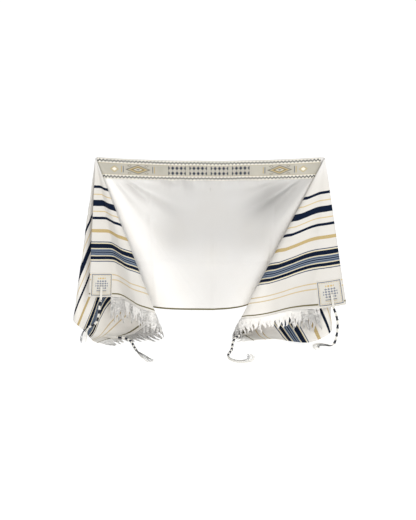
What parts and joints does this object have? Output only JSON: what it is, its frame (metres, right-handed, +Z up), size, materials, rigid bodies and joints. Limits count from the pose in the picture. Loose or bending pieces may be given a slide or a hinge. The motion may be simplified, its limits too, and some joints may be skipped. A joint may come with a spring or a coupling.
{
  "type": "prayer shawl",
  "caption": "Fringed woven shawl with striped ends, a neckband, corner patches and corner tassels, hung by its neckband's ends so that both ends fold forward.",
  "frame": {"origin": "midway between the two held corners, where the ends of the neckband are held at the same height", "axes": "+Z up, +X to the right of someone who faces the shawl, along the line between the held corners, and -Y towards that viewer"},
  "size_m": [0.9845, 0.4333, 0.6607],
  "materials": {
    "woven_cloth": "plain-woven white cloth with woven stripes, soft matte with a little sheen",
    "neckband_sateen": "dense jacquard ribbon in ivory, slate blue and old gold, slightly lustrous",
    "patch_sateen": "dense jacquard square in ivory with a slate border, slightly lustrous",
    "fringe_yarn": "loose white twisted yarn, matte",
    "tassel_cord": "tightly wound white and dark navy cord with loose string ends, matte"
  },
  "bodies": {
    "root": {"back_panel": "woven_cloth", "left_front_fold": "woven_cloth", "left_middle_fold": "woven_cloth", "right_front_fold": "woven_cloth", "right_middle_fold": "woven_cloth", "neckband": "neckband_sateen", "left_upper_patch": "patch_sateen", "left_lower_patch": "patch_sateen", "right_upper_patch": "patch_sateen", "right_lower_patch": "patch_sateen", "left_front_fringe": "fringe_yarn", "left_middle_fringe": "fringe_yarn", "right_front_fringe": "fringe_yarn", "right_middle_fringe": "fringe_yarn", "left_upper_tassel": "tassel_cord", "left_lower_tassel": "tassel_cord", "right_upper_tassel": "tassel_cord", "right_lower_tassel": "tassel_cord"}
  },
  "joints": []
}
